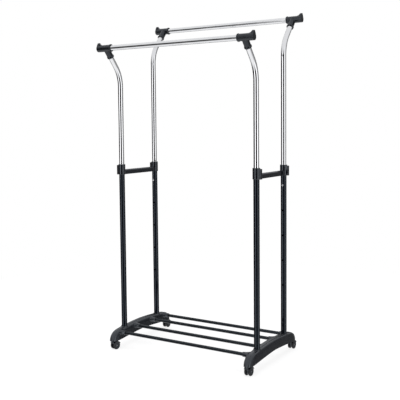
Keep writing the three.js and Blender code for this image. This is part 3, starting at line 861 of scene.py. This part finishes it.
def build_bridges():
    low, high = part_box("right_bridge")
    bottom = low.z / MM
    top = high.z / MM
    post = middle("back_right_post")
    post_y = post.y / MM
    post_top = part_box("back_right_post")[1].z / MM
    post_radius = size("back_right_post").x / 2 / MM
    arm_radius = size("back_right_arm").x / 2 / MM
    sleeve_radius = high.y / MM - post_y
    piece = as_object("right_bridge_moulding", bridge_bar(bottom, post_y - post_radius))
    parts = []
    cuts = []
    for y in (-post_y, post_y):
        parts.append(bridge_sleeve(bottom, top, sleeve_radius, y))
        parts.append(bridge_boss(bottom, top, y))
        cuts.append(tool_rod(post_radius + FIT, bottom - OVERCUT, post_top + FIT, at_y(y)))
        cuts.append(tool_rod(arm_radius + FIT, bottom, top + OVERCUT, at_y(y)))
    combine(piece, parts, "UNION")
    combine(piece, cuts, "DIFFERENCE")
    fuse(piece, voxel=0.75, smoothing=3, keep=0.45)
    piece.data.transform(Matrix.Translation((post.x, 0, 0)) @ Matrix.Scale(MM, 4))
    left = copied(piece, "left_bridge_moulding", Matrix.Scale(-1, 4, (1, 0, 0)))
    dress(piece, "right_bridge", [BRIDGE_PLASTIC])
    dress(left, "left_bridge", [BRIDGE_PLASTIC])


# --- tee connectors ---
TEE_RADIUS = 16.2
TEE_LIP_RADIUS = 18.2
TEE_INNER_X = 345
TEE_BRANCH = 53
TEE_EAR = 27.5
EAR_THICKNESS = 10
EAR_STEPS = 24
RAMP_THICKNESS = 10


def tee_sleeve(outer_x):
    profile = [
        (0, TEE_INNER_X), (TEE_LIP_RADIUS, TEE_INNER_X), (TEE_LIP_RADIUS, TEE_INNER_X + 5.5),
        (TEE_RADIUS, TEE_INNER_X + 8), (TEE_RADIUS, outer_x - 5), (TEE_RADIUS - 5, outer_x - 1.2),
        (0, outer_x - 0.4),
    ]
    return turned(rounded(profile, 2.2, closed=False), FINE_SIDES, ALONG_X)


def tee_branch(matrix):
    """The branch that takes the arm. It hangs along -Z from the rail's axis before it is leaned."""
    foot = -TEE_BRANCH
    lip = TEE_LIP_RADIUS - 0.8
    waist = TEE_RADIUS - 0.9
    profile = [(0, foot), (lip, foot), (lip, foot + 7), (waist, foot + 10), (waist, 0), (0, 0)]
    return turned(rounded(profile, 1.8, closed=False), FINE_SIDES, matrix)


def tee_ear(outer_x):
    """The upright ear at the outer end, which keeps hangers from sliding off."""
    outline = arc((0, 0), TEE_RADIUS, 152, 388, EAR_STEPS)
    outline += [(9.0, TEE_EAR - 8), (5.2, TEE_EAR - 1.4), (0, TEE_EAR + 0.4), (-5.2, TEE_EAR - 1.4)]
    outline += [(-9.0, TEE_EAR - 8)]
    centre = Matrix.Translation((outer_x - EAR_THICKNESS / 2, 0, 0))
    return prism(rounded(outline, 3.0), EAR_THICKNESS, centre @ SIDE_ON)


def tee_ramp(outer_x):
    """The slope that carries the sleeve's top up to the ear."""
    foot = outer_x - 28
    outline = [(foot, 10), (outer_x - 4, 10), (outer_x - 4, TEE_EAR - 2), (outer_x - 9, TEE_EAR - 2)]
    outline += [(outer_x - 13.5, 21.5), (outer_x - 18.5, 17.6), (foot, 15.6)]
    return prism(rounded(outline, 2.5), RAMP_THICKNESS, FRONT_ON)


def build_tees():
    outer_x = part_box("back_right_tee")[1].x / MM
    rail_radius = size("back_rail").z / 2 / MM
    rail_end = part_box("back_rail")[1].x / MM
    arm_radius = size("back_right_arm").x / 2 / MM
    post_x = middle("back_right_post").x / MM
    lean = Matrix.Translation((post_x, 0, 0)) @ Matrix.Rotation(-ARM_LEAN, 4, "X")
    arm_end = -(rail_radius + ARM_END_SHORT / MM) + FIT
    tee = as_object("tee", tee_sleeve(outer_x))
    combine(tee, [tee_branch(lean), tee_ear(outer_x), tee_ramp(outer_x)], "UNION")
    cuts = [
        tool_rod(rail_radius + FIT, TEE_INNER_X - OVERCUT, rail_end + FIT, ALONG_X),
        tool_rod(arm_radius + FIT, -TEE_BRANCH - OVERCUT, arm_end, lean),
    ]
    combine(tee, cuts, "DIFFERENCE")
    fuse(tee, voxel=0.6, smoothing=5, keep=0.5)
    for corner, side, depth in CORNERS:
        row = middle(f"{corner.split('_')[0]}_rail")
        flip = Matrix.Diagonal((side * MM, depth * MM, MM, 1))
        piece = copied(tee, f"{corner}_tee_moulding", Matrix.Translation((0, row.y, row.z)) @ flip)
        dress(piece, f"{corner}_tee", [TEE_PLASTIC])
    bpy.data.objects.remove(tee)


# --- snap buttons ---
STRIP_THICKNESS = 0.8
STRIP_WIDTH = 7
FOLD_RADIUS = 2.6
FOLD_CENTRE = (-1.2, -42)
BUTTON_RADIUS = 4
BUTTON_TIP = 17
BUTTON_DOME = 2.4
BUTTON_SEAT = 7.8
BUTTON_FLANGE = 5.4
CLIP_STEPS = 10


def strip_outline():
    """A V of spring strip: one leg on the arm's far wall, the other behind the button."""
    line = [(-10, -6), (-9.2, -14)]
    for step in range(CLIP_STEPS + 1):
        angle = math.pi * (1 + step / CLIP_STEPS)
        out = FOLD_CENTRE[0] + FOLD_RADIUS * math.cos(angle)
        line.append((out, FOLD_CENTRE[1] + FOLD_RADIUS * math.sin(angle)))
    line += [(7.4, -14), (7.9, 0), (7.9, 7)]
    left = []
    right = []
    for index, point in enumerate(line):
        ahead = Vector(line[min(index + 1, len(line) - 1)])
        run = (ahead - Vector(line[max(index - 1, 0)])).normalized()
        normal = Vector((-run.y, run.x)) * STRIP_THICKNESS / 2
        left.append(Vector(point) + normal)
        right.append(Vector(point) - normal)
    return left + right[::-1]


def button_profile():
    """(radius, height) points of the button: a flange on the strip, a shaft and a domed tip."""
    profile = [(0, BUTTON_SEAT), (BUTTON_FLANGE, BUTTON_SEAT), (BUTTON_FLANGE, 9.4)]
    profile += [(BUTTON_RADIUS, 9.6), (BUTTON_RADIUS, BUTTON_TIP - BUTTON_DOME)]
    for step in range(1, CLIP_STEPS):
        turn = math.pi / 2 * step / CLIP_STEPS
        height = BUTTON_TIP - BUTTON_DOME * (1 - math.sin(turn))
        profile.append((BUTTON_RADIUS * math.cos(turn), height))
    return profile + [(0, BUTTON_TIP)]


def build_clips():
    """The sprung clip inside each arm, with its button."""
    clip = as_object("clip", prism(strip_outline(), STRIP_WIDTH, SIDE_ON))
    combine(clip, [turned(button_profile(), SMALL_SIDES, ALONG_Y)], "UNION")
    for corner, _, depth in CORNERS:
        post = middle(f"{corner}_post")
        seat = Matrix.Translation((post.x, post.y, button_height(corner)))
        flip = Matrix.Diagonal((MM, -depth * MM, MM, 1))
        piece = copied(clip, f"{corner}_snap_clip", seat @ flip)
        node = f"{corner}_snap_button"
        clad(piece, node, [BUTTON_CHROME])
        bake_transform(piece)
    bpy.data.objects.remove(clip)


# --- casters ---
TRAIL = 8
WHEEL_RADIUS = 20
WHEEL_INNER = 6.4
WHEEL_OUTER = 15.4
AXLE_RADIUS = 2.5
STEM_RADIUS = 5.5
WEB_WIDTH = 11.4
ARC_STEPS = 24
CAP_RADIUS = 9.5
CAP_GAP = 0.3  # between the wheels' top and the cap
NECK_RADIUS = STEM_RADIUS - 1.5
NECK_DEPTH = 12
AXLE_HALF_LENGTH = 14.6
AXLE_CUT = 20
TREAD_DEPTH = 2.2
AXLE_SEAT = Matrix.Translation((0, TRAIL, WHEEL_RADIUS)) @ ALONG_X


def caster_hood(top):
    """The web between the wheels, with a fender over them and a cap that takes the stem."""
    axle = (TRAIL, WHEEL_RADIUS)
    web = arc(axle, 14, 205, 395, ARC_STEPS)
    web += [(23, 36), (16, top - 2), (-8.5, top - 2), (-9.5, top - 6), (-6, 24)]
    fender = arc(axle, WHEEL_RADIUS + 2.4, 150, 20, ARC_STEPS)
    fender += arc(axle, WHEEL_RADIUS + 0.8, 20, 150, ARC_STEPS)
    spine = [(-6, 41), (20, 41), (25, 34), (-9, 34)]
    floor = 2 * WHEEL_RADIUS + CAP_GAP
    cap = [(0, floor), (CAP_RADIUS, floor), (CAP_RADIUS, top), (0, top)]
    piece = as_object("hood", prism(rounded(web, 1.5), WEB_WIDTH, SIDE_ON))
    parts = [
        prism(fender, 2 * WHEEL_OUTER, SIDE_ON),
        prism(spine, WEB_WIDTH, SIDE_ON),
        turned(rounded(cap, 0.8, closed=False), COARSE_SIDES),
    ]
    combine(piece, parts, "UNION")
    cuts = [
        tool_rod(AXLE_RADIUS + FIT, -AXLE_CUT, AXLE_CUT, AXLE_SEAT),
        tool_rod(NECK_RADIUS + FIT, top - NECK_DEPTH, top + OVERCUT, Matrix()),
    ]
    combine(piece, cuts, "DIFFERENCE")
    fuse(piece, voxel=0.45, smoothing=3, keep=0.5)
    return piece


def caster_stem(top, hood_top):
    """The stem: a thin neck in the hood, then a full shank with a groove near its top."""
    profile = [
        (0, hood_top - 11.7), (NECK_RADIUS, hood_top - 11.7), (NECK_RADIUS, hood_top + 0.4),
        (STEM_RADIUS, hood_top + 0.4), (STEM_RADIUS, top - 5), (STEM_RADIUS - 0.8, top - 4.4),
        (STEM_RADIUS - 0.8, top - 3), (STEM_RADIUS, top - 2.4), (STEM_RADIUS - 1.6, top), (0, top),
    ]
    return as_object("stem", turned(rounded(profile, 0.4, 3, closed=False), COARSE_SIDES))


def caster_axle():
    half = AXLE_HALF_LENGTH
    profile = [(0, -half), (AXLE_RADIUS, -half), (AXLE_RADIUS, half), (0, half)]
    return as_object("axle", turned(rounded(profile, 0.7, closed=False), SMALL_SIDES, AXLE_SEAT))


def caster_wheel():
    """One wheel, on the caster's +X side: crowned tread, dished face and raised hub."""
    bore = AXLE_RADIUS + FIT
    near = WHEEL_INNER
    far = WHEEL_OUTER
    rim = WHEEL_RADIUS
    profile = [
        (bore, near), (7, near), (7.4, near + 1.2), (15.5, near + 1.2), (16, near), (rim - 0.6, near),
        (rim - 0.1, near + 1.2), (rim, near + 3.6), (rim - 0.1, far - 3.4), (rim - 1.4, far - 1.3),
        (rim - 3, far - 0.4), (rim - 4.2, far - 0.7), (rim - 5, far - 2.2), (8.4, far - 2.4),
        (7.6, far - 1.6), (7.0, far - 0.5), (5.6, far - 0.2), (bore, far - 0.4),
    ]
    return as_object("wheel", turned(rounded(profile, 0.5, 3), FINE_SIDES, AXLE_SEAT))


def mark_tread(piece, centre):
    """Gives the rim's faces the second material."""
    for polygon in piece.data.polygons:
        reach = (polygon.center - centre).length
        if reach > (WHEEL_RADIUS - TREAD_DEPTH) * MM:
            polygon.material_index = 1


def build_casters():
    hood_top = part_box("front_left_caster_hood")[1].z / MM
    stem_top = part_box("front_left_caster_stem")[1].z / MM
    hood = caster_hood(hood_top)
    stem = caster_stem(stem_top, hood_top)
    axle = caster_axle()
    wheel = caster_wheel()
    for corner, _, _ in CORNERS:
        stem_place = middle(f"{corner}_caster_stem")
        across = middle(f"{corner}_wheel_right") - middle(f"{corner}_wheel_left")
        heading = math.atan2(across.y, across.x)
        place = Matrix.Translation((stem_place.x, stem_place.y, 0))
        place = place @ Matrix.Rotation(heading, 4, "Z") @ Matrix.Scale(MM, 4)
        for source, node, material in (
            (hood, "caster_hood", PLASTIC),
            (stem, "caster_stem", ZINC),
            (axle, "caster_axle", ZINC),
        ):
            piece = copied(source, f"{corner}_{node}_piece", place)
            dress(piece, f"{corner}_{node}", [material])
        for name, hand in HANDS:
            flip = Matrix.Diagonal((hand, 1, 1, 1))
            node = f"{corner}_wheel_{name}"
            piece = copied(wheel, f"{node}_piece", place @ flip)
            dress(piece, node, [WHEEL_FACE, TREAD])
            mark_tread(piece, middle(node))
    for source in (hood, stem, axle, wheel):
        bpy.data.objects.remove(source)


# --- studio ---
CAMERA_PLACE = Vector((1.85263, -2.97004, 1.11374))
CAMERA_YAW = math.radians(32.03)
CAMERA_PITCH = math.radians(4.14)
CAMERA_ROLL = math.radians(0.53)
CAMERA_LENS = 64.757
CAMERA_SHIFT = -0.06
SENSOR_WIDTH = 36

# Brightness round the horizon, as (degrees to the right of the camera's side, brightness).
HORIZON = [
    (-180, 0.0), (-167, 0.0), (-161, 0.35), (-134, 0.35), (-128, 0.03), (-60, 0.035),
    (-53, 2.3), (-36, 2.3), (-31, 0.03), (-21, 0.0), (21, 0.0), (28, 0.03),
    (35, 1.7), (56, 1.7), (66, 0.40), (92, 0.42), (106, 0.16), (128, 0.12),
    (134, 0.35), (161, 0.35), (167, 0.0), (180, 0.0),
]
OVERHEAD = 0.85
# Where the ceiling and the ground fade in, by the sine of the angle above the horizon.
CEILING_FADE = (0.13, 0.45)
GROUND_FADE = (-0.38, -0.72)
COOL = 1.01  # how much bluer than neutral the panels are

# Brightness under the horizon, from level (0) to straight down (1), by the sine of the angle.
BELOW = [(0.3, 0.6), (0.7, 0.9), (1.0, 1.05)]


def make_camera():
    forward = Vector((-math.sin(CAMERA_YAW), math.cos(CAMERA_YAW), 0)) * math.cos(CAMERA_PITCH)
    forward.z = -math.sin(CAMERA_PITCH)
    right = Vector((math.cos(CAMERA_YAW), math.sin(CAMERA_YAW), 0))
    up = right.cross(forward)
    rolled_right = right * math.cos(CAMERA_ROLL) - up * math.sin(CAMERA_ROLL)
    rolled_up = right * math.sin(CAMERA_ROLL) + up * math.cos(CAMERA_ROLL)
    turn = Matrix((rolled_right, rolled_up, -forward)).transposed()
    data = bpy.data.cameras.new("camera")
    data.lens = CAMERA_LENS
    data.sensor_width = SENSOR_WIDTH
    data.shift_y = CAMERA_SHIFT
    camera = placed("camera", data)
    camera.matrix_world = Matrix.Translation(CAMERA_PLACE) @ turn.to_4x4()
    bpy.context.scene.camera = camera


def grey(value):
    return (value, value, value * COOL)


def blended(tree, factor, colour, other):
    """Mixes colour towards another, or towards a plain grey, as factor rises."""
    mix = tree.nodes.new("ShaderNodeMix")
    mix.data_type = "RGBA"
    first, second = mix.inputs[6], mix.inputs[7]  # the colour sockets share their names with others
    tree.links.new(factor, mix.inputs["Factor"])
    tree.links.new(colour, first)
    if isinstance(other, float):
        second.default_value = (*grey(other), 1)
    else:
        tree.links.new(other, second)
    return mix.outputs[2]


def surroundings(tree):
    """The light by direction: panels round the horizon, a ceiling above and pale ground below."""
    direction = tree.nodes.new("ShaderNodeTexCoord")
    turned_direction = tree.nodes.new("ShaderNodeMapping")
    turned_direction.vector_type = "VECTOR"
    turned_direction.inputs["Rotation"].default_value = (0, 0, math.pi / 2 - CAMERA_YAW)
    tree.links.new(direction.outputs["Generated"], turned_direction.inputs["Vector"])
    around = tree.nodes.new("ShaderNodeTexGradient")
    around.gradient_type = "RADIAL"
    tree.links.new(turned_direction.outputs["Vector"], around.inputs["Vector"])
    stops = [(0.5 + degrees / 360, grey(value)) for degrees, value in HORIZON]
    panels = tinted(tree, around.outputs["Fac"], stops)
    height = tree.nodes.new("ShaderNodeSeparateXYZ")
    tree.links.new(direction.outputs["Generated"], height.inputs["Vector"])
    rising = remapped(tree, height.outputs["Z"], 0, 1, *CEILING_FADE)
    lifted = blended(tree, rising, panels, OVERHEAD)
    sinking = remapped(tree, height.outputs["Z"], 0, 1, start=0, end=-1)
    below = tinted(tree, sinking, [(position, grey(value)) for position, value in BELOW])
    falling = remapped(tree, height.outputs["Z"], 0, 1, *GROUND_FADE)
    return blended(tree, falling, lifted, below)


def make_world():
    """Tall soft panels round the rack and a bright ceiling, with plain white behind it."""
    world = bpy.data.worlds.new("studio")
    bpy.context.scene.world = world
    world.use_nodes = True
    tree = world.node_tree
    tree.nodes.clear()
    output = tree.nodes.new("ShaderNodeOutputWorld")
    lit = tree.nodes.new("ShaderNodeBackground")
    tree.links.new(surroundings(tree), lit.inputs["Color"])
    plain = tree.nodes.new("ShaderNodeBackground")
    plain.inputs["Color"].default_value = (1, 1, 1, 1)
    plain.inputs["Strength"].default_value = 1.0
    seen = tree.nodes.new("ShaderNodeLightPath")
    mix = tree.nodes.new("ShaderNodeMixShader")
    tree.links.new(seen.outputs["Is Camera Ray"], mix.inputs["Fac"])
    tree.links.new(lit.outputs["Background"], mix.inputs[1])
    tree.links.new(plain.outputs["Background"], mix.inputs[2])
    tree.links.new(mix.outputs["Shader"], output.inputs["Surface"])


RACK_CENTRE = Vector((0, 0, 0.8))


def soft_light(name, place, width, height, power):
    """A rectangular light aimed at the rack, hidden from the camera and from reflections."""
    data = bpy.data.lights.new(name, "AREA")
    data.shape = "RECTANGLE"
    data.size = width
    data.size_y = height
    data.energy = power
    light = placed(name, data)
    light.location = place
    light.rotation_euler = (RACK_CENTRE - Vector(place)).to_track_quat("-Z", "Y").to_euler()
    light.visible_camera = False
    light.visible_glossy = False


FLOOR_RADIUS = 2.2
FLOOR_SIDES = 96
FLOOR_GLOW = 0.81


def make_floor():
    """A round pale floor, barely textured."""
    bm = bmesh.new()
    bmesh.ops.create_circle(bm, cap_ends=True, segments=FLOOR_SIDES, radius=FLOOR_RADIUS)
    floor = as_object("floor", bm)
    material, tree, shader = new_material("floor_paint", 0.9)
    tone = noise(tree, scale=3, detail=3)
    coloured(tree, shader, tone, [(0.3, (0.2, 0.2, 0.202)), (0.7, (0.215, 0.215, 0.216))])
    shader.inputs["Emission Color"].default_value = (1, 1, 1, 1)
    shader.inputs["Emission Strength"].default_value = FLOOR_GLOW
    shader.inputs["Specular IOR Level"].default_value = 0.1
    floor.data.materials.append(material)
    floor.visible_glossy = False


def make_studio():
    bpy.context.scene.view_settings.view_transform = "Standard"
    make_camera()
    make_world()
    make_floor()
    soft_light("ceiling", (0.3, -0.4, 3.6), width=2.6, height=2.0, power=60)
    soft_light("key", (-2.6, -2.4, 2.2), width=1.4, height=1.8, power=25)


# --- assembly ---
make_studio()
for corner_name, _, corner_depth in CORNERS:
    build_post(corner_name, corner_depth)
    build_arm(corner_name, corner_depth)
for rail_name in ("front_rail", "back_rail"):
    build_cross_tube(rail_name, TUBE_WALL, RAIL_CHROME)
for number in range(1, 5):
    build_cross_tube(f"shelf_bar_{number}", BAR_WALL, BAR_PAINT)
build_feet()
build_bridges()
build_tees()
build_clips()
build_casters()
